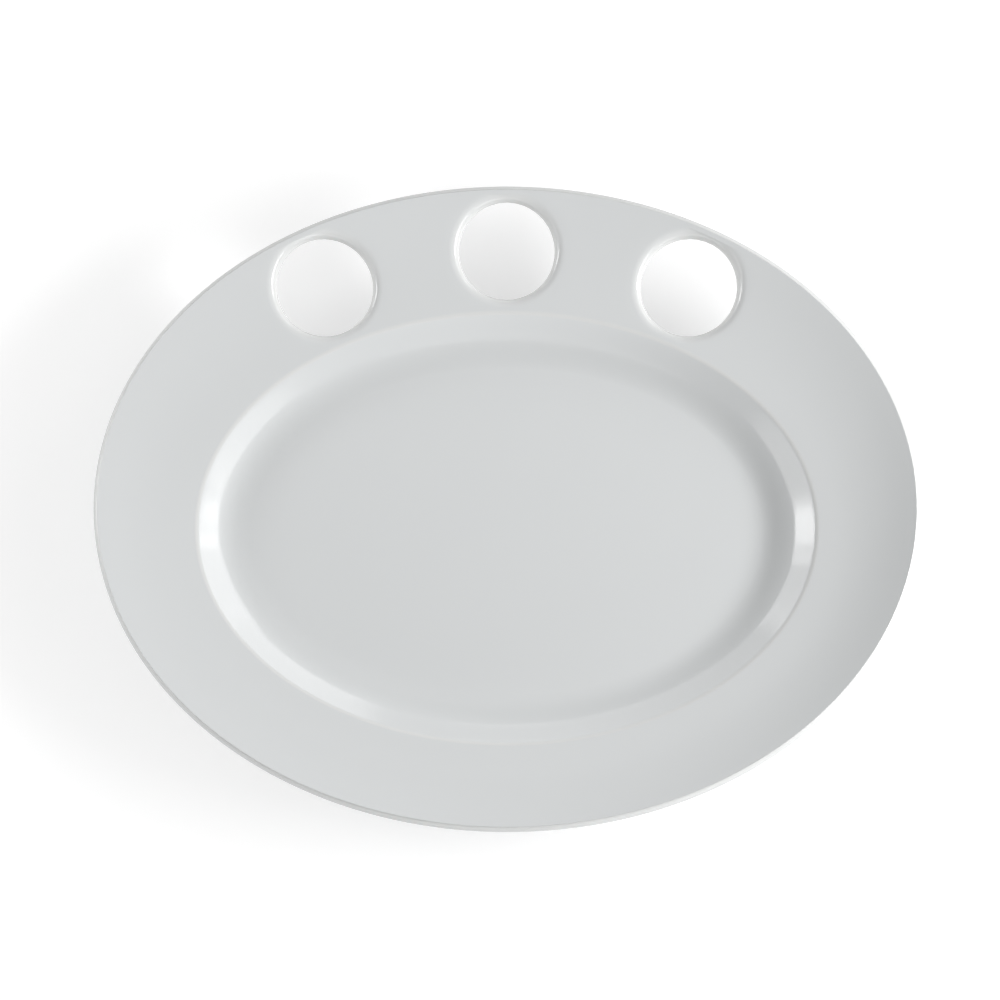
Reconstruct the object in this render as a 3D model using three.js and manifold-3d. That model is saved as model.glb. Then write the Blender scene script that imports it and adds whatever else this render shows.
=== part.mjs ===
// Oval porcelain serving platter: a sunk oval well, a wide rim and three cup holes through the rim's back.
// Millimetres, +Z up. +X runs along the platter and +Y points to the back, where the holes are. The origin
// is under the middle of the outer oval, on the plane that the foot stands on.
//
// The clay is one fired body. The glaze is a thin glassy skin in two patches: one over the face, lip, holes
// and underside, the other on the sunk base inside the foot. The foot's bearing face between them is bare.

import * as THREE from 'three';
import { mergeVertices } from 'three/addons/utils/BufferGeometryUtils.js';
import Module from 'manifold-3d';

// Outer oval
const PLATTER_LENGTH = 356;
const PLATTER_WIDTH = 284;

// Well, measured at the crease where its wall meets the rim. Its width is what the rim leaves.
const WELL_LENGTH = 268;
const WELL_DEPTH = 10.5;
const WELL_SHIFT = 8.5; // towards the front, so that the back of the rim is wider
const WELL_WALL_ANGLE = 35; // degrees, at the platter's two ends
const WELL_WALL_RUN = 22.5; // at the front and back, in plan, from the flat floor out to the crease
const WELL_SWEEP_RADIUS = 26; // from the floor up into the wall
const FLOOR_THICKNESS = 5.6;

// Rim, which turns up a little more towards its lip
const RIM_INNER_ANGLE = 9; // degrees, next to the crease
const RIM_OUTER_ANGLE = 20; // degrees, next to the lip
const RIM_BEND_RADIUS = 150;
const RIM_THICKNESS = 5.3; // measured straight down
const UNDERSIDE_TURN_OFFSET = 2.6; // the underside turns down this far outside the crease
const UNDERSIDE_TURN_RADIUS = 9;

// Foot ring
const FOOT_SETBACK = 16; // from the crease in to the outside of the foot, along the platter
const FOOT_HEIGHT = 2.8;
const FOOT_BEARING = 4.6; // width of the face that it stands on, with the glaze at its sides
const FOOT_DRAFT = 0.9; // each side leans in by this much
const FOOT_ROOT_RADIUS = 1.8;

// Cup holes, centred on the middle of the rim
const HOLE_COUNT = 3;
const HOLE_DIAMETER = 42;
const HOLE_BORDER = 6.75; // rim left before the middle hole and behind it
const HOLE_PITCH = 82; // from centre to centre, along the middle of the rim

// Roundings of the clay's own edges, to which the glaze adds its thickness
const CREASE_RADIUS = 0.7;
const LIP_TOP_RADIUS = 2.5;
const LIP_BOTTOM_RADIUS = 0.8;
const FOOT_EDGE_RADIUS = 0.8;
const HOLE_EDGE_DROP = 3.2; // straight down on the rim's upper side, where the edge rolls in gently
const HOLE_EDGE_RUN = 4.1; // sideways on that side
const HOLE_UNDER_RADIUS = 0.7; // on the rim's underside

// Glaze
const GLAZE_THICKNESS = 0.4;
const GLAZE_CLEARANCE = 0.1; // between the glaze and the clay
const BARE_FOOT_HEIGHT = 1.2; // the glaze is wiped off the foot up to here

// Fineness of the facets
const OVAL_SEGMENTS = 56;
const HOLE_SEGMENTS = 24;
const HOLE_EDGE_STEPS = 3;
const HOLE_EDGE_SWEEP = 75; // degrees; a hole's rounding stops just short of the rim's own surface
const CHORD_ERROR = 0.3;
const PLAN_TOLERANCE = 1e-6;
const CUT_MARGIN = 4; // cutting shapes reach this far past what they cut

const CLAY_COLOUR = 0xe6e1d8;
const CLAY_ROUGHNESS = 0.75;
const GLAZE_COLOUR = 0xdcdfdf;
const GLAZE_ROUGHNESS = 0.12;

const slope = (degrees) => Math.tan(THREE.MathUtils.degToRad(degrees));
const coat = GLAZE_THICKNESS + GLAZE_CLEARANCE;

// Places on the section along +X, at the glaze's surface
const edgeR = PLATTER_LENGTH / 2;
const creaseR = WELL_LENGTH / 2;
const rimMiddleR = (creaseR + edgeR) / 2;
const wallFootR = creaseR - WELL_DEPTH / slope(WELL_WALL_ANGLE);
const floorR = wallFootR - WELL_SWEEP_RADIUS * slope(WELL_WALL_ANGLE / 2);
const underTurnR = creaseR + UNDERSIDE_TURN_OFFSET;
const footR = creaseR - FOOT_SETBACK;
const bearingOuterR = footR - FOOT_DRAFT;
const bearingInnerR = bearingOuterR - FOOT_BEARING;
const bearingMiddleR = (bearingOuterR + bearingInnerR) / 2;

const floorZ = FOOT_HEIGHT + FLOOR_THICKNESS;
const creaseZ = floorZ + WELL_DEPTH;
const rimMiddleZ = creaseZ + (rimMiddleR - creaseR) * slope(RIM_INNER_ANGLE);
const lipZ = rimMiddleZ + (edgeR - rimMiddleR) * slope(RIM_OUTER_ANGLE);
const underTurnZ = creaseZ + UNDERSIDE_TURN_OFFSET * slope(RIM_INNER_ANGLE) - RIM_THICKNESS;

// Sizes across the platter. The back of the rim takes the holes with a border on either side.
const rimBackWidth = HOLE_DIAMETER + 2 * HOLE_BORDER;
const wellHalfWidth = PLATTER_WIDTH / 2 + WELL_SHIFT - rimBackWidth;

// The section's corners as [r, z, rounding], from the middle of the base, out under the rim, round the lip
// and back over the top to the middle of the floor. The foot's clay reaches through the glaze to the ground.
const sectionCorners = (bearingZ) => [
  [0, FOOT_HEIGHT, 0],
  [bearingInnerR - FOOT_DRAFT, FOOT_HEIGHT, FOOT_ROOT_RADIUS],
  [bearingInnerR, bearingZ, FOOT_EDGE_RADIUS + coat],
  [bearingOuterR, bearingZ, FOOT_EDGE_RADIUS + coat],
  [footR, FOOT_HEIGHT, FOOT_ROOT_RADIUS],
  [underTurnR, underTurnZ, UNDERSIDE_TURN_RADIUS],
  [rimMiddleR, rimMiddleZ - RIM_THICKNESS, RIM_BEND_RADIUS],
  [edgeR, lipZ - RIM_THICKNESS, LIP_BOTTOM_RADIUS + coat],
  [edgeR, lipZ, LIP_TOP_RADIUS + coat],
  [rimMiddleR, rimMiddleZ, RIM_BEND_RADIUS],
  [creaseR, creaseZ, CREASE_RADIUS + coat],
  [wallFootR, floorZ, WELL_SWEEP_RADIUS],
  [0, floorZ, 0],
];

// The points of an anticlockwise outline with rounded corners, moved inwards by a distance square to its
// sides. Its two ends are on the axis. Roundings that meet on one side are limited by its length.
function roundedOutline(corners, inset) {
  const spots = corners.map(([r, z]) => new THREE.Vector2(r, z));
  const side = (i) => spots[i + 1].clone().sub(spots[i]);
  const isEnd = (i) => i === 0 || i === corners.length - 1;
  const turnAt = (i) => Math.atan2(side(i - 1).cross(side(i)), side(i - 1).dot(side(i)));
  const turns = corners.map((_, i) => (isEnd(i) ? 0 : turnAt(i)));
  const reaches = corners.map(([, , rounding], i) => rounding * Math.tan(Math.abs(turns[i]) / 2));
  const room = (i) => Math.min(1, side(i).length() / (reaches[i] + reaches[i + 1]));
  return corners.flatMap(([, , rounding], i) => {
    if (isEnd(i)) return [spots[i].clone().add(new THREE.Vector2(0, i === 0 ? inset : -inset))];
    const turn = turns[i];
    const limit = Math.min(room(i - 1), room(i));
    const radius = rounding * limit;
    const along = side(i - 1).normalize();
    const toCentre = new THREE.Vector2(-along.y, along.x).multiplyScalar(radius * Math.sign(turn));
    const centre = spots[i].clone().addScaledVector(along, -reaches[i] * limit).add(toCentre);
    const from = Math.atan2(-toCentre.y, -toCentre.x);
    const moved = radius - inset * Math.sign(turn);
    const arc = new THREE.EllipseCurve(centre.x, centre.y, moved, moved, from, from + turn, turn < 0);
    return arc.getPoints(Math.ceil(Math.abs(turn) / Math.sqrt((8 * CHORD_ERROR) / radius)));
  });
}

// Half width and shift along Y of the oval whose half length is r
function ovalAt(r) {
  const floor = { r: floorR, halfWidth: wellHalfWidth - WELL_WALL_RUN, shift: -WELL_SHIFT };
  const crease = { r: creaseR, halfWidth: wellHalfWidth, shift: -WELL_SHIFT };
  const edge = { r: edgeR, halfWidth: PLATTER_WIDTH / 2, shift: 0 };
  if (r <= floor.r) return { halfWidth: (floor.halfWidth * r) / floor.r, shift: floor.shift };
  const [inner, outer] = r <= crease.r ? [floor, crease] : [crease, edge];
  const share = (r - inner.r) / (outer.r - inner.r);
  return {
    halfWidth: THREE.MathUtils.lerp(inner.halfWidth, outer.halfWidth, share),
    shift: THREE.MathUtils.lerp(inner.shift, outer.shift, share),
  };
}

// Half length of the oval that passes through a point of the plan
function ovalThrough(x, y) {
  let inside = 0;
  let outside = 2 * edgeR;
  while (outside - inside > PLAN_TOLERANCE) {
    const r = (inside + outside) / 2;
    const { halfWidth, shift } = ovalAt(r);
    if (Math.hypot(x / r, (y - shift) / halfWidth) > 1) inside = r;
    else outside = r;
  }
  return inside;
}

// Height of the rim's upper surface on the oval whose half length is r
function rimTopAt(r) {
  const inner = slope(RIM_INNER_ANGLE);
  const outer = slope(RIM_OUTER_ANGLE);
  const bendReach = RIM_BEND_RADIUS * slope((RIM_OUTER_ANGLE - RIM_INNER_ANGLE) / 2);
  const fromMiddle = r - rimMiddleR;
  const inBend = Math.max(bendReach - Math.abs(fromMiddle), 0);
  const bend = (inBend ** 2 * (outer - inner)) / (4 * bendReach);
  return rimMiddleZ + fromMiddle * (fromMiddle < 0 ? inner : outer) + bend;
}

// Moves each vertex of a geometry by a function of its place
function moveVertices(geometry, move) {
  const { position } = geometry.attributes;
  const spot = new THREE.Vector3();
  for (let i = 0; i < position.count; i += 1) {
    spot.fromBufferAttribute(position, i);
    move(spot);
    position.setXYZ(i, spot.x, spot.y, spot.z);
  }
  return geometry;
}

// A section swept round +Z along circles
const roundSweep = (points, segments) => new THREE.LatheGeometry(points, segments).rotateX(Math.PI / 2);

// A section swept round +Z along the platter's ovals
function ovalSweep(points) {
  return moveVertices(roundSweep(points, OVAL_SEGMENTS), (spot) => {
    const r = Math.hypot(spot.x, spot.y);
    const { halfWidth, shift } = ovalAt(r);
    spot.y = shift + (r > 0 ? (spot.y / r) * halfWidth : 0);
  });
}

const wasm = await Module();
wasm.setup();

// A closed geometry as a solid that can be cut. Triangles that shrink to a line on the axis are left out.
function solidFrom(geometry) {
  geometry.deleteAttribute('normal');
  geometry.deleteAttribute('uv');
  const { attributes, index } = mergeVertices(geometry);
  const kept = [];
  for (let i = 0; i < index.count; i += 3) {
    const corners = [index.getX(i), index.getX(i + 1), index.getX(i + 2)];
    if (new Set(corners).size === corners.length) kept.push(...corners);
  }
  const vertProperties = attributes.position.array;
  const triVerts = Uint32Array.from(kept);
  return new wasm.Manifold(new wasm.Mesh({ numProp: 3, vertProperties, triVerts }));
}

function geometryFrom(solid) {
  const { vertProperties, triVerts } = solid.getMesh();
  const geometry = new THREE.BufferGeometry();
  geometry.setAttribute('position', new THREE.BufferAttribute(vertProperties, 3));
  geometry.setIndex(new THREE.BufferAttribute(triVerts, 1));
  geometry.computeVertexNormals();
  return geometry;
}

// Centres of the holes, spread along the middle of the rim from the middle of the back
function holeCentres() {
  const { halfWidth, shift } = ovalAt(rimMiddleR);
  const rimMiddle = new THREE.EllipseCurve(0, shift, rimMiddleR, halfWidth);
  const quarter = 0.25;
  return Array.from({ length: HOLE_COUNT }, (_, i) => {
    const along = (i - (HOLE_COUNT - 1) / 2) * HOLE_PITCH;
    return rimMiddle.getPointAt(quarter - along / rimMiddle.getLength());
  });
}

// The upright spool that cuts a hole with rounded edges above and below, lifted to follow the rim's slope.
// The two roundings are limited by the rim's thickness.
function holeCutter(centre, inset) {
  const underRun = HOLE_UNDER_RADIUS + coat;
  const limit = Math.min(1, RIM_THICKNESS / (HOLE_EDGE_DROP + coat + underRun));
  const drop = (HOLE_EDGE_DROP + coat) * limit;
  const rise = underRun * limit;
  const sweep = THREE.MathUtils.degToRad(HOLE_EDGE_SWEEP);
  const edge = (run, height, z, from, to) => {
    const arc = new THREE.EllipseCurve(HOLE_DIAMETER / 2 + run, z, run - inset, height - inset, from, to, true);
    return arc.getPoints(HOLE_EDGE_STEPS);
  };
  const lower = edge(underRun, rise, rise - RIM_THICKNESS, Math.PI + sweep, Math.PI);
  const upper = edge(HOLE_EDGE_RUN + coat, drop, -drop, Math.PI, Math.PI - sweep);
  const bottomZ = -RIM_THICKNESS - CUT_MARGIN;
  const points = [
    new THREE.Vector2(0, bottomZ),
    new THREE.Vector2(lower[0].x, bottomZ),
    ...lower,
    ...upper,
    new THREE.Vector2(upper.at(-1).x, CUT_MARGIN),
    new THREE.Vector2(0, CUT_MARGIN),
  ];
  const spool = roundSweep(points, HOLE_SEGMENTS).translate(centre.x, centre.y, 0);
  return solidFrom(moveVertices(spool, (spot) => {
    spot.z += rimTopAt(ovalThrough(spot.x, spot.y));
  }));
}

// The platter's form, moved in from its finished surface by a distance
function platterForm(inset) {
  const form = solidFrom(ovalSweep(roundedOutline(sectionCorners(-inset), inset)));
  return holeCentres().reduce((solid, centre) => solid.subtract(holeCutter(centre, inset)), form);
}

// Everything below the line that the glaze is wiped off to
function bareZone() {
  const depth = BARE_FOOT_HEIGHT + CUT_MARGIN;
  const slab = new THREE.BoxGeometry(PLATTER_LENGTH, PLATTER_WIDTH, depth);
  return solidFrom(slab.translate(0, 0, BARE_FOOT_HEIGHT - depth / 2));
}

// The space under the floor and inside the middle of the foot
function baseZone() {
  const topZ = FOOT_HEIGHT + FLOOR_THICKNESS / 2;
  return solidFrom(ovalSweep([
    new THREE.Vector2(0, -CUT_MARGIN),
    new THREE.Vector2(bearingMiddleR, -CUT_MARGIN),
    new THREE.Vector2(bearingMiddleR, topZ),
    new THREE.Vector2(0, topZ),
  ]));
}

function piece(name, solid, color, roughness) {
  const material = new THREE.MeshStandardMaterial({ color, roughness, metalness: 0 });
  const mesh = new THREE.Mesh(geometryFrom(solid), material);
  mesh.name = name;
  return mesh;
}

const skin = platterForm(0).subtract(bareZone()).subtract(platterForm(GLAZE_THICKNESS));

const platter = new THREE.Group();
platter.name = 'oval_serving_platter';
platter.add(piece('porcelain_body', platterForm(coat), CLAY_COLOUR, CLAY_ROUGHNESS));
platter.add(piece('outer_glaze', skin.subtract(baseZone()), GLAZE_COLOUR, GLAZE_ROUGHNESS));
platter.add(piece('base_glaze', skin.intersect(baseZone()), GLAZE_COLOUR, GLAZE_ROUGHNESS));

export default platter;
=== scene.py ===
"""An oval porcelain serving platter with three cup holes, dressed and lit in a white studio.

The clay body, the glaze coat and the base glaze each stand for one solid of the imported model.
Sizes of the ware are in millimetres, and meshes are in metres. +X runs along the platter and +Y points
to the back, where the holes are.
"""

from __future__ import annotations

import bisect
import logging
import math
from dataclasses import dataclass, field
from enum import Enum
from typing import Iterable, Sequence

import bpy
from mathutils import Matrix, Vector


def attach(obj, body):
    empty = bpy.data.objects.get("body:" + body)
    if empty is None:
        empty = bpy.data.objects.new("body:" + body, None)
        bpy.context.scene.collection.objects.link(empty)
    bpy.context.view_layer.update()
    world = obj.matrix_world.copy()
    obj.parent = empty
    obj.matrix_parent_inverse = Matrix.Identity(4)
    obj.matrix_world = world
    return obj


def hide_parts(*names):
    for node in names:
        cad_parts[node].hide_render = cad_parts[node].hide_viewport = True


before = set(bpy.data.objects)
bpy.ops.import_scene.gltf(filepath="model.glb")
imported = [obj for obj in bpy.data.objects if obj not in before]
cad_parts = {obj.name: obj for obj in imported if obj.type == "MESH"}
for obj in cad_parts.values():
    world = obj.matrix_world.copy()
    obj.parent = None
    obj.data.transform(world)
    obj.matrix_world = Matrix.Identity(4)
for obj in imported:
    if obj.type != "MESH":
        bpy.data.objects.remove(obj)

MM = 0.001
# Two measures on the mesh: one gives the warm tint of thinner glaze and painted light on edges, the other
# the cool tint of thick glaze and painted shade in hollows.
THIN_AND_LIT_ATTRIBUTE = "glaze_thin_and_lit"
POOL_AND_SHADE_ATTRIBUTE = "glaze_pool_and_shade"
LIP_TOP_THIN_AND_LIT = 0.8
WIPED_EDGE_THIN_AND_LIT = 0.6
MIX_FIRST_COLOUR = 6
MIX_SECOND_COLOUR = 7
MIX_COLOUR_OUT = 2

Point = tuple[float, float]
Face = tuple[int, ...]

log = logging.getLogger("platter")


class Turn(Enum):
    """The rounded corners of the section, from the base out under the rim and back over the top."""

    BASE_ROOT = "inside of the foot, at the base"
    FOOT_INNER_EDGE = "inner edge of the bearing face"
    FOOT_OUTER_EDGE = "outer edge of the bearing face"
    FOOT_ROOT = "outside of the foot, at the wall"
    UNDER_TURN = "underside, where the wall turns into the rim"
    UNDER_BEND = "underside, at the middle of the rim"
    LIP_BOTTOM = "lower edge of the lip"
    LIP_TOP = "upper edge of the lip"
    RIM_BEND = "middle of the rim"
    CREASE = "crease between the rim and the well"
    SWEEP = "sweep from the wall into the floor"


class Region(Enum):
    """The parts of the ware's surface, by what covers them."""

    FACE = "glazed face, lip, holes and underside"
    FOOT = "bare foot"
    BASE = "glazed base inside the foot"


@dataclass(frozen=True)
class Oval:
    """One oval of the plan, with its long axis along X."""

    half_length: float
    half_width: float
    shift: float

    def point(self, angle: float) -> Point:
        """Give the point of the oval at an angle from +X, in radians."""
        return self.half_length * math.cos(angle), self.shift + self.half_width * math.sin(angle)


@dataclass(frozen=True)
class PlatterSizes:
    """The ware's driving sizes at the glazed surface, in millimetres and degrees, and what they give."""

    length: float = 356.0
    width: float = 284.0
    well_length: float = 268.0
    well_depth: float = 10.5
    well_shift: float = 8.5
    wall_angle: float = 35.0
    wall_run: float = 22.5
    sweep_radius: float = 26.0
    floor_thickness: float = 5.6
    rim_inner_angle: float = 9.0
    rim_outer_angle: float = 20.0
    rim_bend_radius: float = 150.0
    rim_thickness: float = 5.3
    under_turn_offset: float = 2.6
    under_turn_radius: float = 9.0
    foot_setback: float = 16.0
    foot_height: float = 2.8
    foot_bearing: float = 4.6
    foot_draft: float = 0.9
    foot_root_radius: float = 1.8
    foot_edge_radius: float = 1.3
    crease_radius: float = 5.0
    lip_top_radius: float = 3.0
    lip_bottom_radius: float = 1.3
    hole_count: int = 3
    hole_diameter: float = 42.0
    hole_border: float = 6.75
    hole_pitch: float = 82.0
    hole_edge_drop: float = 3.7
    hole_edge_run: float = 4.6
    hole_under_radius: float = 1.2
    glaze_thickness: float = 0.4
    glaze_clearance: float = 0.1
    bare_height: float = 1.2

    @property
    def edge_r(self) -> float:
        """Give the half length of the outer oval."""
        return self.length / 2

    @property
    def crease_r(self) -> float:
        """Give the half length of the oval at the crease."""
        return self.well_length / 2

    @property
    def rim_middle_r(self) -> float:
        """Give the half length of the oval along the middle of the rim."""
        return (self.crease_r + self.edge_r) / 2

    @property
    def wall_foot_r(self) -> float:
        """Give the half length of the oval where the wall would meet the floor without its sweep."""
        return self.crease_r - self.well_depth / slope(self.wall_angle)

    @property
    def floor_r(self) -> float:
        """Give the half length of the flat floor."""
        return self.wall_foot_r - self.sweep_radius * slope(self.wall_angle / 2)

    @property
    def foot_r(self) -> float:
        """Give the half length of the foot's outside."""
        return self.crease_r - self.foot_setback

    @property
    def floor_z(self) -> float:
        """Give the height of the floor."""
        return self.foot_height + self.floor_thickness

    @property
    def crease_z(self) -> float:
        """Give the height of the crease."""
        return self.floor_z + self.well_depth

    @property
    def rim_middle_z(self) -> float:
        """Give the height of the middle of the rim."""
        return self.crease_z + (self.rim_middle_r - self.crease_r) * slope(self.rim_inner_angle)

    @property
    def lip_z(self) -> float:
        """Give the height of the lip before its rounding."""
        return self.rim_middle_z + (self.edge_r - self.rim_middle_r) * slope(self.rim_outer_angle)

    @property
    def clay_depth(self) -> float:
        """Give the depth of the clay below the glazed surface."""
        return self.glaze_thickness + self.glaze_clearance


def slope(degrees: float) -> float:
    """Give the rise over run of an angle in degrees."""
    return math.tan(math.radians(degrees))


def spread(start: float, end: float, count: int) -> list[float]:
    """Give evenly spread values from start to end, both among them."""
    return [start + (end - start) * i / (count - 1) for i in range(count)]


@dataclass(frozen=True)
class Plan:
    """The ovals that the section is swept along, seen from above."""

    sizes: PlatterSizes
    search_steps: int = 44
    walk_points: int = 20000

    def ovals(self) -> tuple[Oval, Oval, Oval]:
        """Give the ovals of the flat floor, the crease and the edge."""
        s = self.sizes
        rim_back = s.hole_diameter + 2 * s.hole_border
        well_half_width = s.width / 2 + s.well_shift - rim_back
        floor = Oval(s.floor_r, well_half_width - s.wall_run, -s.well_shift)
        crease = Oval(s.crease_r, well_half_width, -s.well_shift)
        return floor, crease, Oval(s.edge_r, s.width / 2, 0.0)

    def at(self, r: float) -> Oval:
        """Give the oval of a half length.

        Args:
            r: Half length of the oval along X.

        Returns:
            The oval, a smaller copy of the floor's inside the floor.
        """
        floor, crease, edge = self.ovals()
        if r <= floor.half_length:
            return Oval(r, floor.half_width * r / floor.half_length, floor.shift)
        inner, outer = (floor, crease) if r <= crease.half_length else (crease, edge)
        share = (r - inner.half_length) / (outer.half_length - inner.half_length)
        half_width = inner.half_width + (outer.half_width - inner.half_width) * share
        return Oval(r, half_width, inner.shift + (outer.shift - inner.shift) * share)

    def through(self, point: Point) -> float:
        """Give the half length of the oval that passes through a point."""
        inside = 0.0
        outside = 2 * self.sizes.edge_r
        for _ in range(self.search_steps):
            r = (inside + outside) / 2
            oval = self.at(r)
            if math.hypot(point[0] / r, (point[1] - oval.shift) / oval.half_width) > 1:
                inside = r
            else:
                outside = r
        return inside

    def hole_centres(self) -> list[Point]:
        """Give the centres of the holes, spread along the middle of the rim from the middle of the back."""
        s = self.sizes
        oval = self.at(s.rim_middle_r)
        points = [oval.point(angle) for angle in spread(0.0, math.pi, self.walk_points)]
        lengths = [0.0]
        for a, b in zip(points, points[1:]):
            lengths.append(lengths[-1] + math.dist(a, b))
        centres = []
        for i in range(s.hole_count):
            along = lengths[-1] / 2 + (i - (s.hole_count - 1) / 2) * s.hole_pitch
            centres.append(points[bisect.bisect_left(lengths, along)])
        return centres


@dataclass(frozen=True)
class ArcSteps:
    """How many steps the arc of each rounded corner takes."""

    foot: int = 6
    under_turn: int = 24
    rim_bend: int = 48
    lip_bottom: int = 10
    lip_top: int = 12
    crease: int = 10
    sweep: int = 22


@dataclass(frozen=True)
class Corner:
    """A corner of the section before rounding, with its radius and the steps that its arc takes."""

    turn: Turn
    r: float
    z: float
    radius: float
    steps: int


@dataclass(frozen=True)
class Station:
    """A point of the section that is swept into one ring, with how much thinner or thicker the glaze runs
    there, which also sets painted light on edges and painted shade in hollows.
    """

    r: float
    z: float
    thin_and_lit: float = 0.0
    pool: float = 0.0


@dataclass(frozen=True)
class Section:
    """The section along +X, moved in by a depth below the glazed surface."""

    sizes: PlatterSizes
    depth: float
    steps: ArcSteps = ArcSteps()

    def corners(self) -> list[Corner]:
        """Give the section's corners, anticlockwise from the base to the floor."""
        s, n = self.sizes, self.steps
        bearing_z = -self.depth
        outer = s.foot_r - s.foot_draft
        inner = outer - s.foot_bearing
        turn_r = s.crease_r + s.under_turn_offset
        turn_z = s.crease_z + s.under_turn_offset * slope(s.rim_inner_angle) - s.rim_thickness
        under_bend_z = s.rim_middle_z - s.rim_thickness
        lip_bottom_z = s.lip_z - s.rim_thickness
        return [
            Corner(Turn.BASE_ROOT, inner - s.foot_draft, s.foot_height, s.foot_root_radius, n.foot),
            Corner(Turn.FOOT_INNER_EDGE, inner, bearing_z, s.foot_edge_radius, n.foot),
            Corner(Turn.FOOT_OUTER_EDGE, outer, bearing_z, s.foot_edge_radius, n.foot),
            Corner(Turn.FOOT_ROOT, s.foot_r, s.foot_height, s.foot_root_radius, n.foot),
            Corner(Turn.UNDER_TURN, turn_r, turn_z, s.under_turn_radius, n.under_turn),
            Corner(Turn.UNDER_BEND, s.rim_middle_r, under_bend_z, s.rim_bend_radius, n.rim_bend),
            Corner(Turn.LIP_BOTTOM, s.edge_r, lip_bottom_z, s.lip_bottom_radius, n.lip_bottom),
            Corner(Turn.LIP_TOP, s.edge_r, s.lip_z, s.lip_top_radius, n.lip_top),
            Corner(Turn.RIM_BEND, s.rim_middle_r, s.rim_middle_z, s.rim_bend_radius, n.rim_bend),
            Corner(Turn.CREASE, s.crease_r, s.crease_z, s.crease_radius, n.crease),
            Corner(Turn.SWEEP, s.wall_foot_r, s.floor_z, s.sweep_radius, n.sweep),
        ]

    def arcs(self) -> dict[Turn, list[Point]]:
        """Give the points of each rounded corner, in the section's own order."""
        s = self.sizes
        corners = self.corners()
        spots = [Vector((0.0, s.foot_height))]
        spots.extend(Vector((corner.r, corner.z)) for corner in corners)
        spots.append(Vector((0.0, s.floor_z)))
        arcs = {}
        for i, corner in enumerate(corners, start=1):
            before = spots[i] - spots[i - 1]
            after = spots[i + 1] - spots[i]
            turn = math.atan2(before.cross(after), before.dot(after))
            side = math.copysign(1.0, turn)
            along = before.normalized()
            to_centre = Vector((-along.y, along.x)) * corner.radius * side
            centre = spots[i] - along * corner.radius * math.tan(abs(turn) / 2) + to_centre
            start = math.atan2(-to_centre.y, -to_centre.x)
            radius = corner.radius - self.depth * side
            arcs[corner.turn] = [
                (centre.x + radius * math.cos(angle), centre.y + radius * math.sin(angle))
                for angle in spread(start, start + turn, corner.steps + 1)
            ]
        return arcs


class Heights:
    """Heights of one side of the rim, read off the section at any half length."""

    def __init__(self, points: Iterable[Point]) -> None:
        """Sort the section's points by half length."""
        self.points = sorted(points)
        self.lengths = [point[0] for point in self.points]

    def at(self, r: float) -> float:
        """Give the height at a half length, between the section's points."""
        i = min(max(bisect.bisect_left(self.lengths, r), 1), len(self.points) - 1)
        (r0, z0), (r1, z1) = self.points[i - 1], self.points[i]
        return z0 + (z1 - z0) * (r - r0) / (r1 - r0)


@dataclass(frozen=True)
class Weave:
    """How finely the surface is divided, and where the rim's rings run past the holes."""

    segments: int = 240
    rim_cells: int = 16
    hole_half_angle: float = 13.5
    collar_rings: int = 4
    edge_rings: int = 9
    collar_margin: float = 0.5
    top_inner_gap: float = 1.4
    under_inner_gap: float = 2.2
    outer_gap: float = 2.0
    slope_rings: int = 7
    slope_start: float = 1.2
    turn_rings: int = 3
    wall_rings: int = 4


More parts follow.
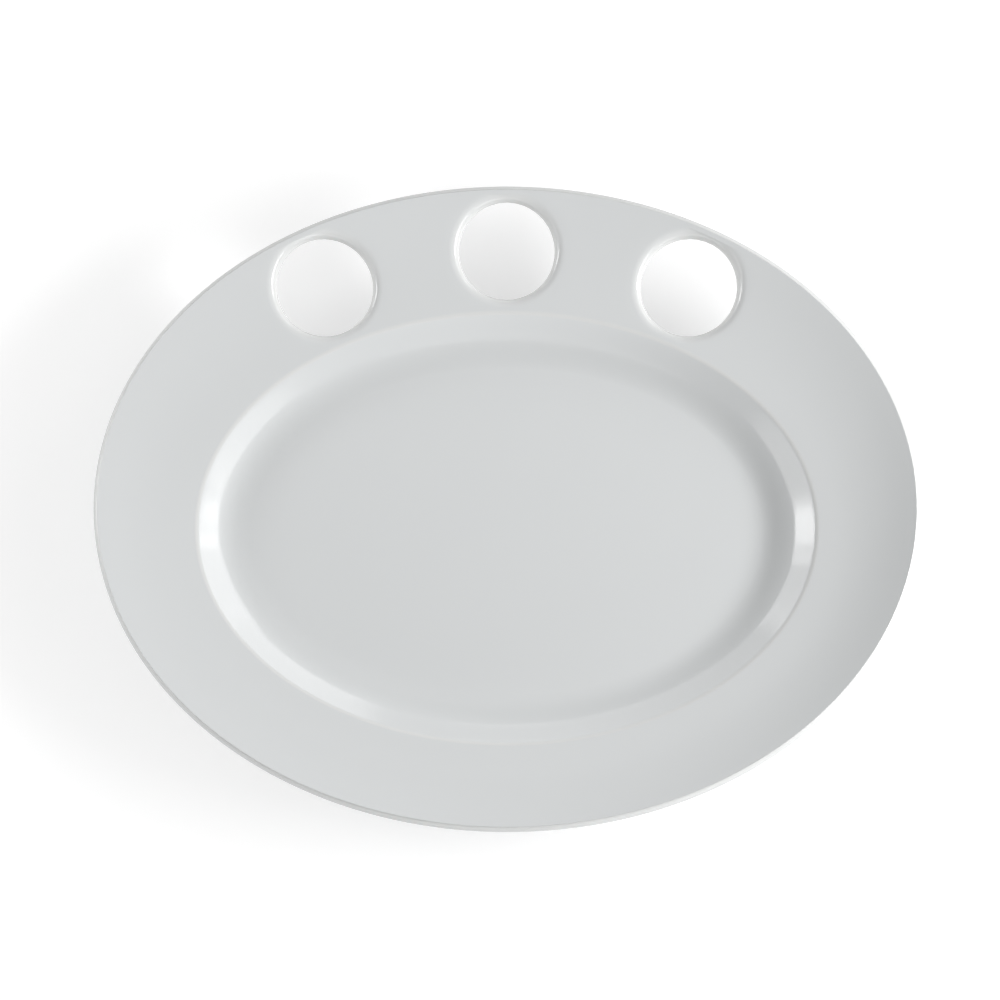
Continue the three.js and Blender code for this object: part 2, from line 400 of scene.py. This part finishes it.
@dataclass
class Skin:
    """The platter's whole surface at one depth: points, faces and the part that each face belongs to."""

    sizes: PlatterSizes
    depth: float
    weave: Weave = field(default_factory=Weave)
    points: list[Vector] = field(default_factory=list)
    thin_and_lit: list[float] = field(default_factory=list)
    pool: list[float] = field(default_factory=list)
    faces: list[Face] = field(default_factory=list)
    regions: list[Region] = field(default_factory=list)

    def __post_init__(self) -> None:
        """Sweep the section, set the holes in it and close the floor and the base."""
        self.plan = Plan(self.sizes)
        self.arcs = Section(self.sizes, self.depth).arcs()
        arcs = self.arcs
        upper = [arcs[Turn.LIP_TOP][-1], *arcs[Turn.RIM_BEND], arcs[Turn.CREASE][0]]
        under = [arcs[Turn.FOOT_ROOT][-1], *arcs[Turn.UNDER_TURN], *arcs[Turn.UNDER_BEND]]
        under.append(arcs[Turn.LIP_BOTTOM][0])
        self.upper = Heights(upper)
        self.under = Heights(under)
        self.known: dict[tuple[int, int], int] = {}
        self._sweep()
        for centre in self.plan.hole_centres():
            self._hole(centre)
        self._cap(0, Region.BASE)
        self._cap(len(self.stations) - 1, Region.FACE)

    def _stations(self) -> list[Station]:
        """Give the rings' places on the section and note where the bare foot and the rim's rings start."""
        s, w, arcs = self.sizes, self.weave, self.arcs
        edge_r = s.edge_r - w.outer_gap
        # The hollows at the foot and in the well's sweep are marked for painted shade as well as for the
        # cool tint of thick glaze.
        rows = self._arc(Turn.BASE_ROOT, pool=1.0)
        rows.append(self._wiped(arcs[Turn.BASE_ROOT][-1], arcs[Turn.FOOT_INNER_EDGE][0]))
        self.base_end = len(rows) - 1
        # The edges of the foot, lip and crease are marked for painted light as well as for the warm tint of
        # thinner glaze.
        rows += self._arc(Turn.FOOT_INNER_EDGE, thin_and_lit=1.0)
        rows += self._arc(Turn.FOOT_OUTER_EDGE, thin_and_lit=1.0)
        rows.append(self._wiped(arcs[Turn.FOOT_OUTER_EDGE][-1], arcs[Turn.FOOT_ROOT][0]))
        self.foot_end = len(rows) - 1
        rows += self._arc(Turn.FOOT_ROOT, pool=1.0)
        slope_end = s.crease_r + s.under_turn_offset - w.slope_start
        for r in spread(s.foot_r + w.slope_start, slope_end, w.slope_rings):
            rows.append(Station(r, self.under.at(r)))
        self.under_start = len(rows)
        turn_end = s.crease_r + s.under_turn_offset + s.under_turn_radius * slope(s.rim_inner_angle)
        radii = spread(s.crease_r + w.under_inner_gap, turn_end, w.turn_rings + 1)[:-1]
        radii += spread(turn_end, edge_r, w.rim_cells + 1 - w.turn_rings)
        rows += [Station(r, self.under.at(r)) for r in radii]
        rows += self._arc(Turn.LIP_BOTTOM, thin_and_lit=1.0)
        rows += self._arc(Turn.LIP_TOP, thin_and_lit=LIP_TOP_THIN_AND_LIT)[:-1]
        self.top_start = len(rows)
        for r in spread(edge_r, s.crease_r + w.top_inner_gap, w.rim_cells + 1):
            rows.append(Station(r, self.upper.at(r)))
        rows += self._arc(Turn.CREASE, thin_and_lit=1.0)
        wall = spread(0.0, 1.0, w.wall_rings + 2)[1:-1]
        (r0, z0), (r1, z1) = arcs[Turn.CREASE][-1], arcs[Turn.SWEEP][0]
        rows += [Station(r0 + (r1 - r0) * t, z0 + (z1 - z0) * t) for t in wall]
        rows += self._arc(Turn.SWEEP, pool=1.0)
        return rows

    def _arc(self, turn: Turn, thin_and_lit: float = 0.0, pool: float = 0.0) -> list[Station]:
        """Give one rounded corner's rings, with the marks for tint and for painted light and shade strongest
        in its middle.
        """
        points = self.arcs[turn]
        swell = [math.sin(math.pi * i / (len(points) - 1)) for i in range(len(points))]
        return [Station(r, z, thin_and_lit * k, pool * k) for (r, z), k in zip(points, swell)]

    def _wiped(self, a: Point, b: Point) -> Station:
        """Give the ring on the foot's side where the glaze is wiped off."""
        share = (self.sizes.bare_height - a[1]) / (b[1] - a[1])
        return Station(a[0] + (b[0] - a[0]) * share, self.sizes.bare_height, thin_and_lit=WIPED_EDGE_THIN_AND_LIT)

    def _vertex(self, x: float, y: float, z: float, thin_and_lit: float = 0.0, pool: float = 0.0) -> int:
        """Add a point in metres and give its number."""
        self.points.append(Vector((x, y, z)) * MM)
        self.thin_and_lit.append(thin_and_lit)
        self.pool.append(pool)
        return len(self.points) - 1

    def _ring_vertex(self, row: int, segment: int) -> int:
        """Give the number of a ring's point, added when first asked for."""
        key = (row, segment % self.weave.segments)
        if key not in self.known:
            station = self.stations[row]
            angle = 2 * math.pi * key[1] / self.weave.segments
            x, y = self.plan.at(station.r).point(angle)
            self.known[key] = self._vertex(x, y, station.z, station.thin_and_lit, station.pool)
        return self.known[key]

    def _face(self, face: Face, region: Region) -> None:
        """Add a face of a region."""
        self.faces.append(face)
        self.regions.append(region)

    def _sweep(self) -> None:
        """Add the swept surface, apart from the fields of the rim that the holes take."""
        w = self.weave
        self.stations = self._stations()
        taken = [self._field(centre) for centre in self.plan.hole_centres()]
        rim_rows = set(range(self.under_start, self.under_start + w.rim_cells))
        rim_rows |= set(range(self.top_start, self.top_start + w.rim_cells))
        for row in range(len(self.stations) - 1):
            region = Region.FACE
            if row < self.base_end:
                region = Region.BASE
            elif row < self.foot_end:
                region = Region.FOOT
            for i in range(w.segments):
                if row in rim_rows and any(low <= i < high for low, high in taken):
                    continue
                corners = ((row, i), (row, i + 1), (row + 1, i + 1), (row + 1, i))
                self._face(tuple(self._ring_vertex(*corner) for corner in corners), region)

    def _field(self, centre: Point) -> tuple[int, int]:
        """Give the first and last segment of the field of the rim that a hole takes."""
        w = self.weave
        oval = self.plan.at(self.plan.through(centre))
        angle = math.atan2((centre[1] - oval.shift) / oval.half_width, centre[0] / oval.half_length)
        reach = math.radians(w.hole_half_angle)
        step = 2 * math.pi / w.segments
        return round((angle - reach) / step), round((angle + reach) / step)

    def _border(self, centre: Point, start: int, outwards: bool) -> list[int]:
        """Give the points round a hole's field, anticlockwise from above.

        Args:
            centre: Centre of the hole.
            start: First of the rim's rings on this side of the rim.
            outwards: Whether the rings run from the crease to the edge.

        Returns:
            The numbers of the points, from the field's first segment at the outer edge.
        """
        low, high = self._field(centre)
        cells = self.weave.rim_cells
        rows = list(range(start, start + cells + 1))
        if outwards:
            rows.reverse()
        loop = [(rows[0], i) for i in range(low, high)]
        loop += [(row, high) for row in rows[:-1]]
        loop += [(rows[-1], i) for i in range(high, low, -1)]
        loop += [(row, low) for row in reversed(rows[1:])]
        return [self._ring_vertex(*spot) for spot in loop]

    def _hole(self, centre: Point) -> None:
        """Set a hole in its field: a collar, the rounded upper edge, the lower edge and the collar below."""
        s, w = self.sizes, self.weave
        throat = s.hole_diameter / 2
        top = self._border(centre, self.top_start, outwards=False)
        below = self._border(centre, self.under_start, outwards=True)
        top_spots = [self.points[i].xy / MM for i in top]
        below_spots = [self.points[i].xy / MM for i in below]
        middle = Vector(centre)
        ways = [(spot - middle).normalized() for spot in top_spots]
        room = [(spot - middle).length - w.collar_margin - throat for spot in top_spots]
        room_below = [(spot - middle).length - w.collar_margin - throat for spot in below_spots]
        runs = [min(s.hole_edge_run, gap) for gap in room]
        runs_below = [min(s.hole_under_radius, gap) for gap in room_below]
        drop = s.hole_edge_drop - self.depth
        lift = s.hole_under_radius - self.depth
        rings = [top]
        for t in spread(0.0, 1.0, w.collar_rings + 1)[1:]:
            spots = [
                spot.lerp(middle + way * (throat + run), t)
                for spot, way, run in zip(top_spots, ways, runs)
            ]
            rings.append([self._on_rim(spot, self.upper) for spot in spots])
        # The hole's rounded edge is marked for painted light as well as for the warm tint of thinner glaze.
        for angle in spread(0.0, math.pi / 2, w.edge_rings)[1:]:
            fall = drop * (1 - math.cos(angle))
            radii = [throat + run - (run - self.depth) * math.sin(angle) for run in runs]
            spots = [middle + way * radius for way, radius in zip(ways, radii)]
            rings.append([self._on_rim(spot, self.upper, -fall, math.sin(angle)) for spot in spots])
        for angle in spread(math.pi / 2, 0.0, w.edge_rings):
            rise = lift * (1 - math.cos(angle))
            radii = [throat + run - (run - self.depth) * math.sin(angle) for run in runs_below]
            spots = [middle + way * radius for way, radius in zip(ways, radii)]
            rings.append([self._on_rim(spot, self.under, rise, math.sin(angle)) for spot in spots])
        for t in spread(1.0, 0.0, w.collar_rings + 1)[1:-1]:
            spots = [
                spot.lerp(middle + way * (throat + run), t)
                for spot, way, run in zip(below_spots, ways, runs_below)
            ]
            rings.append([self._on_rim(spot, self.under) for spot in spots])
        rings.append(below)
        count = len(top)
        for a, b in zip(rings, rings[1:]):
            for k in range(count):
                n = (k + 1) % count
                self._face((a[k], a[n], b[n], b[k]), Region.FACE)

    def _on_rim(self, spot: Vector, side: Heights, lift: float = 0.0, thin_and_lit: float = 0.0) -> int:
        """Add a point on one side of the rim.

        Args:
            spot: Place in the plan, in millimetres.
            side: Heights of that side of the rim.
            lift: Height above the rim's own surface.
            thin_and_lit: How far the glaze runs thinner there, which also sets painted light, from 0 to 1.

        Returns:
            The point's number.
        """
        height = side.at(self.plan.through((spot.x, spot.y)))
        return self._vertex(spot.x, spot.y, height + lift, thin_and_lit)

    def _cap(self, row: int, region: Region) -> None:
        """Close the first or the last ring with a flat field of four-sided faces.

        Args:
            row: The ring that is closed.
            region: What the field belongs to; the base faces down.
        """
        # A square field has eight times its half side as points round its border.
        half = self.weave.segments // 8
        station = self.stations[row]
        oval = self.plan.at(station.r)
        numbers: dict[tuple[int, int], int] = {}
        for i in range(-half, half + 1):
            for j in range(-half, half + 1):
                ring = max(abs(i), abs(j))
                angle = self._cap_angle(i, j)
                if ring == half:
                    segment = round(angle * self.weave.segments / (2 * math.pi))
                    numbers[i, j] = self._ring_vertex(row, segment)
                    continue
                inner = Oval(oval.half_length * ring / half, oval.half_width * ring / half, oval.shift)
                x, y = inner.point(angle)
                numbers[i, j] = self._vertex(x, y, station.z)
        for i in range(-half, half):
            for j in range(-half, half):
                face = (numbers[i, j], numbers[i + 1, j], numbers[i + 1, j + 1], numbers[i, j + 1])
                self._face(face if region is Region.FACE else face[::-1], region)

    @staticmethod
    def _cap_angle(i: int, j: int) -> float:
        """Give the angle of a spot of the square field when it is rounded into an oval."""
        eighth = math.pi / 4
        ring = max(abs(i), abs(j))
        if ring == 0:
            return 0.0
        if i == ring:
            return eighth * j / ring
        if j == ring:
            return 2 * eighth - eighth * i / ring
        if i == -ring:
            return 4 * eighth - eighth * j / ring
        return 6 * eighth + eighth * i / ring


@dataclass
class Body:
    """A mesh in the making: points, faces and two measures at each point, which tint the glaze and also set
    painted light on edges and painted shade in hollows.
    """

    points: list[Vector]
    faces: list[Face]
    thin_and_lit: list[float]
    pool: list[float]

    def piece(self, name: str, sharp_angle: float = 50.0) -> bpy.types.Object:
        """Make the smooth-shaded object.

        Args:
            name: Name of the object and its mesh.
            sharp_angle: Edges that turn more than this many degrees stay sharp.

        Returns:
            The object, linked to the scene.
        """
        mesh = bpy.data.meshes.new(name)
        mesh.from_pydata([tuple(point) for point in self.points], [], self.faces)
        mesh.validate()
        for attribute, values in ((THIN_AND_LIT_ATTRIBUTE, self.thin_and_lit), (POOL_AND_SHADE_ATTRIBUTE, self.pool)):
            mesh.attributes.new(attribute, "FLOAT", "POINT").data.foreach_set("value", values)
        mesh.shade_smooth()
        mesh.set_sharp_from_angle(angle=math.radians(sharp_angle))
        piece = bpy.data.objects.new(name, mesh)
        bpy.context.scene.collection.objects.link(piece)
        return piece


def whole(skin: Skin) -> Body:
    """Give the closed body inside a skin."""
    return Body(skin.points, skin.faces, skin.thin_and_lit, skin.pool)


def coat(outer: Skin, inner: Skin, region: Region) -> Body:
    """Give the closed layer between two skins over one region.

    Args:
        outer: The surface that shows.
        inner: The surface below it, with the same faces.
        region: The part of the ware that the layer covers.

    Returns:
        The layer, closed along the lines where it ends.
    """
    kept = [face for face, part in zip(outer.faces, outer.regions) if part is region]
    order = sorted({i for face in kept for i in face})
    number = {old: new for new, old in enumerate(order)}
    shift = len(order)
    shown = [tuple(number[i] for i in face) for face in kept]
    hidden = [tuple(i + shift for i in reversed(face)) for face in shown]
    sides = {(a, b) for face in shown for a, b in zip(face, face[1:] + face[:1])}
    ends = [(b, a, a + shift, b + shift) for a, b in sorted(sides) if (b, a) not in sides]
    points = [outer.points[i] for i in order] + [inner.points[i] for i in order]
    thin_and_lit = [outer.thin_and_lit[i] for i in order] * 2
    pool = [outer.pool[i] for i in order] * 2
    return Body(points, shown + hidden + ends, thin_and_lit, pool)


class Graph:
    """The node tree of a material or world, filled by short calls."""

    def __init__(self, tree: bpy.types.NodeTree) -> None:
        """Empty the tree."""
        self.tree = tree
        tree.nodes.clear()

    def add(self, kind: str, **inputs: object) -> bpy.types.Node:
        """Add a node and set or link its inputs.

        Args:
            kind: The node's type.
            inputs: Values or output sockets by input name, with underscores for spaces.

        Returns:
            The node.
        """
        node = self.tree.nodes.new(kind)
        for name, value in inputs.items():
            self.put(node.inputs[name.replace("_", " ")], value)
        return node

    def put(self, socket: bpy.types.NodeSocket, value: object) -> None:
        """Set an input to a value or link it to an output."""
        if isinstance(value, bpy.types.NodeSocket):
            self.tree.links.new(value, socket)
        else:
            socket.default_value = value

    def noise(self, where: bpy.types.NodeSocket, scale: float, detail: float) -> bpy.types.NodeSocket:
        """Give a soft noise from 0 to 1, with its scale in waves per metre."""
        return self.add("ShaderNodeTexNoise", Vector=where, Scale=scale, Detail=detail).outputs["Fac"]

    def spot(self) -> bpy.types.NodeSocket:
        """Give the place on the ware, in metres."""
        return self.add("ShaderNodeTexCoord").outputs["Object"]

    def measure(self, name: str) -> bpy.types.NodeSocket:
        """Give one of the measures that the mesh carries at its points."""
        node = self.add("ShaderNodeAttribute")
        node.attribute_name = name
        return node.outputs["Fac"]

    def ramp(self, value: bpy.types.NodeSocket, low: float, high: float) -> bpy.types.NodeSocket:
        """Stretch a value from 0 to 1 onto a range."""
        node = self.add("ShaderNodeMapRange", Value=value, To_Min=low, To_Max=high)
        return node.outputs["Result"]

    def mix(self, share: bpy.types.NodeSocket, a: object, b: object) -> bpy.types.NodeSocket:
        """Blend two colours by a share from 0 to 1."""
        node = self.tree.nodes.new("ShaderNodeMix")
        node.data_type = "RGBA"
        self.put(node.inputs["Factor"], share)
        self.put(node.inputs[MIX_FIRST_COLOUR], a)
        self.put(node.inputs[MIX_SECOND_COLOUR], b)
        return node.outputs[MIX_COLOUR_OUT]


Colour = tuple[float, float, float, float]


def colour(red: float, green: float, blue: float) -> Colour:
    """Give an opaque colour."""
    return red, green, blue, 1.0


WHITE = colour(1.0, 1.0, 1.0)


@dataclass(frozen=True)
class GlazeFinish:
    """White gloss glaze: it runs thinner and warmer over edges, where it is also lighter as painted light,
    and stands thick and cool in hollows, where it is also darker as painted shade.
    """

    name: str = "white_glaze"
    slot: str = "white_glaze"
    pale: Colour = colour(0.728, 0.744, 0.747)
    deep: Colour = colour(0.716, 0.732, 0.736)
    # Lighter than the glaze: painted light on the edges, as well as the warm tint of glaze that runs thinner
    # there.
    thin_and_lit: Colour = colour(0.790, 0.790, 0.774)
    # Darker than the glaze: painted shade in the hollows, as well as the cool tint of glaze that stands
    # thick there.
    pooled_and_shaded: Colour = colour(0.610, 0.628, 0.628)
    thin_and_lit_share: float = 0.6
    pool_and_shade_share: float = 0.28
    roughness: tuple[float, float] = (0.10, 0.14)
    ior: float = 1.52
    tone_scale: float = 22.0
    tone_detail: float = 3.0
    sheen_scale: float = 90.0
    sheen_detail: float = 2.0
    wave_scale: float = 45.0
    wave_detail: float = 0.0
    wave_height: float = 0.000012
    peel_scale: float = 420.0
    peel_detail: float = 1.0
    peel_height: float = 0.0000012

    def material(self) -> bpy.types.Material:
        """Make the glaze's material."""
        material = bpy.data.materials.new(self.name)
        material.use_nodes = True
        graph = Graph(material.node_tree)
        spot = graph.spot()
        tone = graph.mix(graph.noise(spot, self.tone_scale, self.tone_detail), self.deep, self.pale)
        # Painted light: the edges are mixed towards the lighter, warmer colour.
        thin_and_lit = graph.ramp(graph.measure(THIN_AND_LIT_ATTRIBUTE), 0.0, self.thin_and_lit_share)
        # Painted shade: the hollows are mixed towards the darker, cooler colour.
        pool = graph.ramp(graph.measure(POOL_AND_SHADE_ATTRIBUTE), 0.0, self.pool_and_shade_share)
        tone = graph.mix(pool, graph.mix(thin_and_lit, tone, self.thin_and_lit), self.pooled_and_shaded)
        sheen = graph.ramp(graph.noise(spot, self.sheen_scale, self.sheen_detail), *self.roughness)
        waves = graph.noise(spot, self.wave_scale, self.wave_detail)
        peel = graph.noise(spot, self.peel_scale, self.peel_detail)
        swell = graph.add("ShaderNodeBump", Strength=1.0, Distance=self.wave_height, Height=waves)
        grain = graph.add(
            "ShaderNodeBump",
            Strength=1.0, Distance=self.peel_height, Height=peel, Normal=swell.outputs["Normal"],
        )
        shader = graph.add(
            "ShaderNodeBsdfPrincipled",
            Base_Color=tone, Roughness=sheen, IOR=self.ior, Normal=grain.outputs["Normal"],
        )
        graph.add("ShaderNodeOutputMaterial", Surface=shader.outputs["BSDF"])
        return material


@dataclass(frozen=True)
class BisqueFinish:
    """Bare porcelain: matte, finely grained, and greyed a little where the foot rubs on tables."""

    name: str = "bare_porcelain"
    slot: str = "bare_porcelain"
    clean: Colour = colour(0.80, 0.77, 0.72)
    grain: Colour = colour(0.72, 0.69, 0.64)
    rubbed: Colour = colour(0.55, 0.53, 0.50)
    rub_share: float = 0.45
    rub_scale: float = 70.0
    rub_detail: float = 5.0
    rub_range: tuple[float, float] = (0.5, 0.72)
    grain_scale: float = 2600.0
    grain_detail: float = 4.0
    grain_height: float = 0.00003
    grain_strength: float = 0.6
    roughness: tuple[float, float] = (0.62, 0.85)

    def material(self) -> bpy.types.Material:
        """Make the bare clay's material."""
        material = bpy.data.materials.new(self.name)
        material.use_nodes = True
        graph = Graph(material.node_tree)
        spot = graph.spot()
        grain = graph.noise(spot, self.grain_scale, self.grain_detail)
        worn = graph.noise(spot, self.rub_scale, self.rub_detail)
        low, high = self.rub_range
        rub = graph.add("ShaderNodeMapRange", Value=worn, From_Min=low, From_Max=high, To_Max=self.rub_share)
        tone = graph.mix(rub.outputs["Result"], graph.mix(grain, self.grain, self.clean), self.rubbed)
        bump = graph.add(
            "ShaderNodeBump", Strength=self.grain_strength, Distance=self.grain_height, Height=grain
        )
        shader = graph.add(
            "ShaderNodeBsdfPrincipled",
            Base_Color=tone, Roughness=graph.ramp(grain, *self.roughness), Normal=bump.outputs["Normal"],
        )
        graph.add("ShaderNodeOutputMaterial", Surface=shader.outputs["BSDF"])
        return material


@dataclass
class WarePiece:
    """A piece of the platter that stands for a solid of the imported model."""

    node: str
    name: str
    sizes: PlatterSizes = field(default_factory=PlatterSizes)

    def body(self) -> Body:
        """Give the piece's mesh in the making."""
        raise NotImplementedError

    def build(self) -> bpy.types.Object:
        """Make the piece and set it in place of its solid."""
        self.piece = self.body().piece(self.name)
        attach(self.piece, "root")
        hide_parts(self.node)
        return self.piece

    def dress(self, finish: GlazeFinish | BisqueFinish, material: bpy.types.Material) -> None:
        """Give the piece its finish.

        Args:
            finish: The finish, whose name is logged.
            material: The finish's material.
        """
        self.piece.data.materials.append(material)
        log.info("%s: %d faces, %s", self.piece.name, len(self.piece.data.polygons), finish.name)


@dataclass
class PorcelainBody(WarePiece):
    """The fired clay, which shows only on the foot."""

    node: str = "porcelain_body"
    name: str = "clay_body"

    def body(self) -> Body:
        """Give the closed clay body."""
        return whole(Skin(self.sizes, self.sizes.clay_depth))


@dataclass
class GlazeCoat(WarePiece):
    """The glassy layer over one region of the clay."""

    node: str = "outer_glaze"
    name: str = "glaze_over_face"
    region: Region = Region.FACE

    def body(self) -> Body:
        """Give the closed layer of glaze."""
        surface = Skin(self.sizes, 0.0)
        inside = Skin(self.sizes, self.sizes.glaze_thickness)
        return coat(surface, inside, self.region)


@dataclass(frozen=True)
class StudioFloor:
    """The pale floor. To the camera it also glows a little, so that it is white with a faint shadow."""

    radius: float = 1.2
    segments: int = 96
    pale: Colour = colour(0.70, 0.70, 0.70)
    glow: float = 0.50

    def build(self) -> bpy.types.Object:
        """Make the floor under the foot."""
        mesh = bpy.data.meshes.new("studio_floor")
        angles = [2 * math.pi * i / self.segments for i in range(self.segments)]
        points = [(self.radius * math.cos(angle), self.radius * math.sin(angle), 0.0) for angle in angles]
        mesh.from_pydata(points, [], [tuple(range(self.segments))])
        floor = bpy.data.objects.new("studio_floor", mesh)
        bpy.context.scene.collection.objects.link(floor)
        mesh.materials.append(self.material())
        return floor

    def material(self) -> bpy.types.Material:
        """Make the floor's material: matte, with a glow that only the camera, gloss and glass see."""
        material = bpy.data.materials.new("studio_floor")
        material.use_nodes = True
        graph = Graph(material.node_tree)
        matte = graph.add("ShaderNodeBsdfDiffuse", Color=self.pale)
        glow = graph.add("ShaderNodeEmission", Color=WHITE, Strength=self.glow)
        lit = graph.add("ShaderNodeAddShader")
        graph.put(lit.inputs[0], matte.outputs["BSDF"])
        graph.put(lit.inputs[1], glow.outputs["Emission"])
        choice = graph.add("ShaderNodeMixShader", Fac=seen_share(graph))
        graph.put(choice.inputs[1], matte.outputs["BSDF"])
        graph.put(choice.inputs[2], lit.outputs["Shader"])
        graph.add("ShaderNodeOutputMaterial", Surface=choice.outputs["Shader"])
        return material


def seen_share(graph: Graph) -> bpy.types.NodeSocket:
    """Give 1 for rays that show the surroundings to the camera, straight, in gloss or through glass."""
    path = graph.add("ShaderNodeLightPath")
    share = path.outputs["Is Camera Ray"]
    for name in ("Is Glossy Ray", "Is Transmission Ray"):
        either = graph.add("ShaderNodeMath")
        either.operation = "MAXIMUM"
        graph.put(either.inputs[0], share)
        graph.put(either.inputs[1], path.outputs[name])
        share = either.outputs["Value"]
    return share


@dataclass(frozen=True)
class StudioWorld:
    """The white room round the floor."""

    light: float = 0.25
    shown: float = 1.0

    def build(self) -> None:
        """Set the room's light, and white where the camera sees past the floor."""
        world = bpy.data.worlds.new("studio_room")
        world.use_nodes = True
        bpy.context.scene.world = world
        graph = Graph(world.node_tree)
        level = graph.ramp(seen_share(graph), self.light, self.shown)
        room = graph.add("ShaderNodeBackground", Color=WHITE, Strength=level)
        graph.add("ShaderNodeOutputWorld", Surface=room.outputs["Background"])


@dataclass(frozen=True)
class SoftBox:
    """A soft oval lamp aimed at the platter, placed by azimuth from +X towards +Y and by elevation."""

    name: str
    azimuth: float
    elevation: float
    width: float
    height: float
    radiance: float
    distance: float = 1.5

    def build(self, aim: Vector) -> bpy.types.Object:
        """Make the lamp.

        Args:
            aim: The point that the lamp faces.

        Returns:
            The lamp's object.
        """
        lamp = bpy.data.lights.new(self.name, "AREA")
        lamp.shape = "ELLIPSE"
        lamp.size = self.width
        lamp.size_y = self.height
        area = math.pi * self.width * self.height / 4
        lamp.energy = math.pi * area * self.radiance
        stand = bpy.data.objects.new(self.name, lamp)
        across = math.radians(self.azimuth)
        up = math.radians(self.elevation)
        way = Vector((math.cos(up) * math.cos(across), math.cos(up) * math.sin(across), math.sin(up)))
        stand.location = aim + way * self.distance
        stand.rotation_euler = way.to_track_quat("Z", "Y").to_euler()
        bpy.context.scene.collection.objects.link(stand)
        return stand


@dataclass(frozen=True)
class StudioCamera:
    """The camera, high in front of the platter."""

    aim: tuple[float, float, float] = (0.0, 0.0, 0.015)
    elevation: float = 78.0
    distance: float = 1.5
    lens: float = 124.5
    sensor: float = 36.0
    slide: tuple[float, float] = (-0.0030, 0.0036)

    def build(self) -> bpy.types.Object:
        """Make the camera and hand it to the scene."""
        up = math.radians(self.elevation)
        back = Vector((0.0, -math.cos(up), math.sin(up)))
        right = Vector((1.0, 0.0, 0.0))
        over = back.cross(right)
        turn = Matrix((right, over, back)).transposed()
        place = Vector(self.aim) + back * self.distance + right * self.slide[0] + over * self.slide[1]
        data = bpy.data.cameras.new("studio_camera")
        data.lens = self.lens
        data.sensor_width = self.sensor
        camera = bpy.data.objects.new("studio_camera", data)
        camera.matrix_world = Matrix.Translation(place) @ turn.to_4x4()
        bpy.context.scene.collection.objects.link(camera)
        bpy.context.scene.camera = camera
        return camera


@dataclass(frozen=True)
class Studio:
    """Floor, room, lamps and camera."""

    floor: StudioFloor = StudioFloor()
    room: StudioWorld = StudioWorld()
    camera: StudioCamera = StudioCamera()
    # Each lamp has its azimuth, elevation, width, height and radiance, and its distance where that differs.
    lamps: Sequence[SoftBox] = (
        SoftBox("key_core", -4.0, 22.0, 0.87, 0.25, 20.5, 1.45),
        SoftBox("key_wide", -15.0, 22.0, 1.60, 0.30, 4.8),
        SoftBox("key_spark", 10.0, 25.0, 0.62, 0.23, 3.2, 1.55),
        SoftBox("key_high", -30.0, 30.0, 1.45, 0.29, 2.0, 1.60),
        SoftBox("key_back", 35.0, 24.0, 1.03, 0.41, 2.7, 1.55),
        SoftBox("key_far", 57.0, 14.0, 1.10, 0.28, 2.3),
        SoftBox("key_front", -65.0, 8.0, 0.90, 0.24, 4.4),
        SoftBox("card_core", 168.0, 25.0, 0.42, 0.23, 4.2, 1.45),
        SoftBox("card_halo", 168.0, 25.0, 0.84, 0.28, 4.2),
        SoftBox("card_low", 165.0, 16.0, 1.03, 0.21, 4.6, 1.55),
        SoftBox("card_front", 196.0, 30.0, 1.34, 0.27, 2.3, 1.55),
        SoftBox("card_back", 146.0, 20.0, 1.06, 0.25, 2.8, 1.60),
        SoftBox("back_low", 112.0, 16.0, 1.60, 0.32, 1.1),
        SoftBox("front_low", 255.0, 6.0, 1.60, 0.24, 2.4),
        SoftBox("front_high", 264.0, 42.0, 1.20, 0.40, 0.7),
        SoftBox("overhead", 90.0, 70.0, 0.70, 0.70, 0.2),
    )

    def build(self) -> None:
        """Set up the studio round the platter."""
        self.floor.build()
        self.room.build()
        for lamp in self.lamps:
            lamp.build(Vector(self.camera.aim))
        self.camera.build()
        bpy.context.scene.view_settings.view_transform = "Standard"


def main() -> None:
    """Build the platter, piece by piece, and the studio round it."""
    logging.basicConfig(level=logging.INFO, format="%(name)s: %(message)s")
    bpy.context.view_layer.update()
    glaze = GlazeFinish()
    bisque = BisqueFinish()
    glaze_material = glaze.material()
    clay = PorcelainBody()
    clay.build()
    clay.dress(bisque, bisque.material())
    face = GlazeCoat()
    face.build()
    face.dress(glaze, glaze_material)
    base = GlazeCoat("base_glaze", "glaze_under_base", region=Region.BASE)
    base.build()
    base.dress(glaze, glaze_material)
    Studio().build()


if __name__ == "__main__":
    main()
